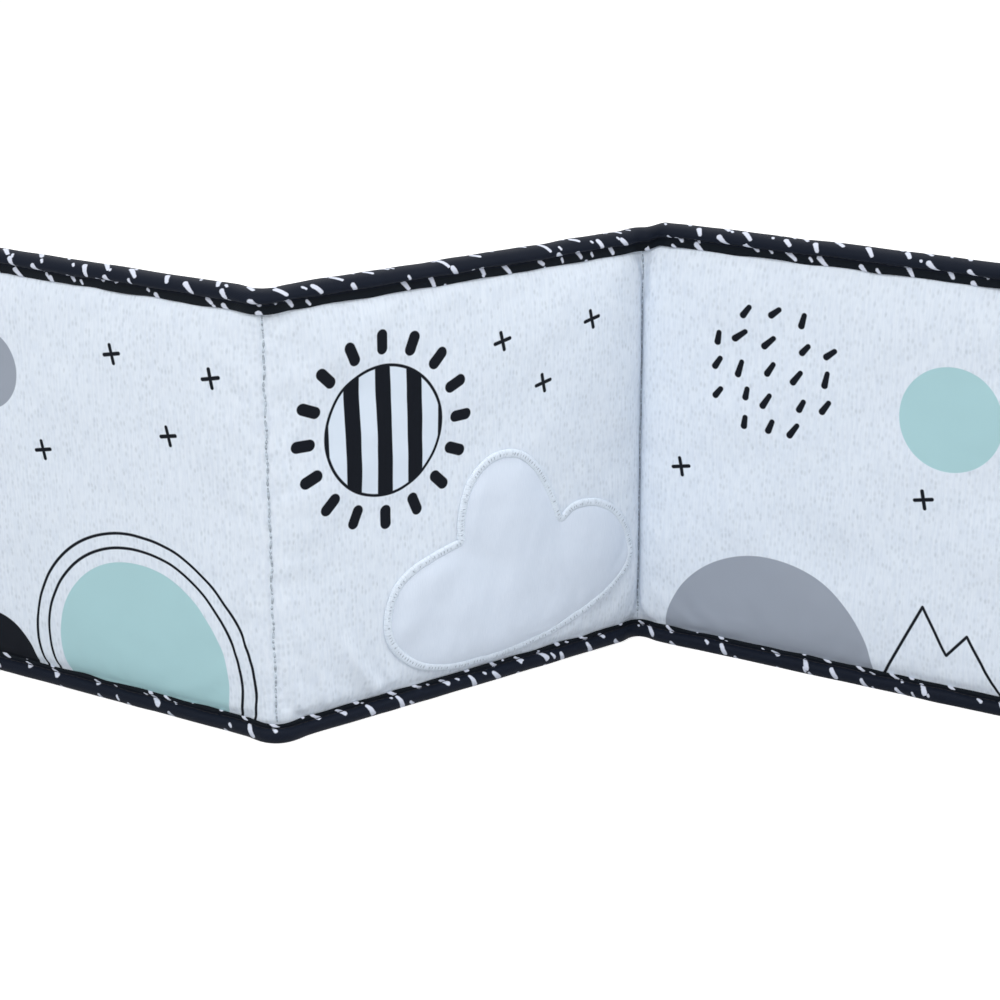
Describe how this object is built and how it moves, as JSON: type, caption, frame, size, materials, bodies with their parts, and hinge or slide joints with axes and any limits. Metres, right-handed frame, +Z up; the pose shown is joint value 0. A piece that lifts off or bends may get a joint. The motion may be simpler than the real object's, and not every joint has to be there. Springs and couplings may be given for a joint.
{
  "type": "fold-out cloth book",
  "caption": "Padded zigzag cloth book: square fabric panels joined by stitched folds, bound in black tape, with a raised cloud patch.",
  "frame": {"origin": "on the floor under the middle of the centre panel, at the bottom centre of the bounding box as the book stands", "axes": "+X along the zigzag's run from the left panel to the right, +Y to the back, +Z up; the front pages face -Y"},
  "size_m": [0.4612, 0.1076, 0.1821],
  "materials": {
    "page_cloth": "printed white polyester with fine grey flecks",
    "back_cloth": "printed white polyester",
    "wadding": "white polyester wadding",
    "black_tape": "black binding tape with short white dashes",
    "satin": "smooth white satin",
    "satin_stitch": "bright white embroidery thread in a dense zigzag",
    "seam_thread": "pale grey sewing thread"
  },
  "bodies": {
    "centre_panel": {"centre_front_cover": "page_cloth", "centre_back_cover": "back_cloth", "centre_wadding": "wadding", "centre_top_binding": "black_tape", "centre_bottom_binding": "black_tape", "cloud_patch": "satin", "cloud_border": "satin_stitch", "left_fold_seam": "seam_thread", "left_fold_top_binding": "black_tape", "left_fold_bottom_binding": "black_tape", "right_fold_seam": "seam_thread", "right_fold_top_binding": "black_tape", "right_fold_bottom_binding": "black_tape"},
    "left_panel": {"left_front_cover": "page_cloth", "left_back_cover": "back_cloth", "left_wadding": "wadding", "left_top_binding": "black_tape", "left_bottom_binding": "black_tape", "left_end_binding": "black_tape"},
    "right_panel": {"right_front_cover": "page_cloth", "right_back_cover": "back_cloth", "right_wadding": "wadding", "right_top_binding": "black_tape", "right_bottom_binding": "black_tape", "right_end_binding": "black_tape"}
  },
  "joints": [
    {"name": "left_fold", "type": "hinge", "parent": "centre_panel", "child": "left_panel", "pos_m": [-0.07654, -0.04876, 0.0904], "axis": [0, 0, -1], "range_deg": [-155, 87], "deforming": ["left_fold_top_binding", "left_fold_bottom_binding"]},
    {"name": "right_fold", "type": "hinge", "parent": "centre_panel", "child": "right_panel", "pos_m": [0.07654, 0.04876, 0.0904], "axis": [0, 0, -1], "range_deg": [-155, 87], "deforming": ["right_fold_top_binding", "right_fold_bottom_binding"]}
  ]
}
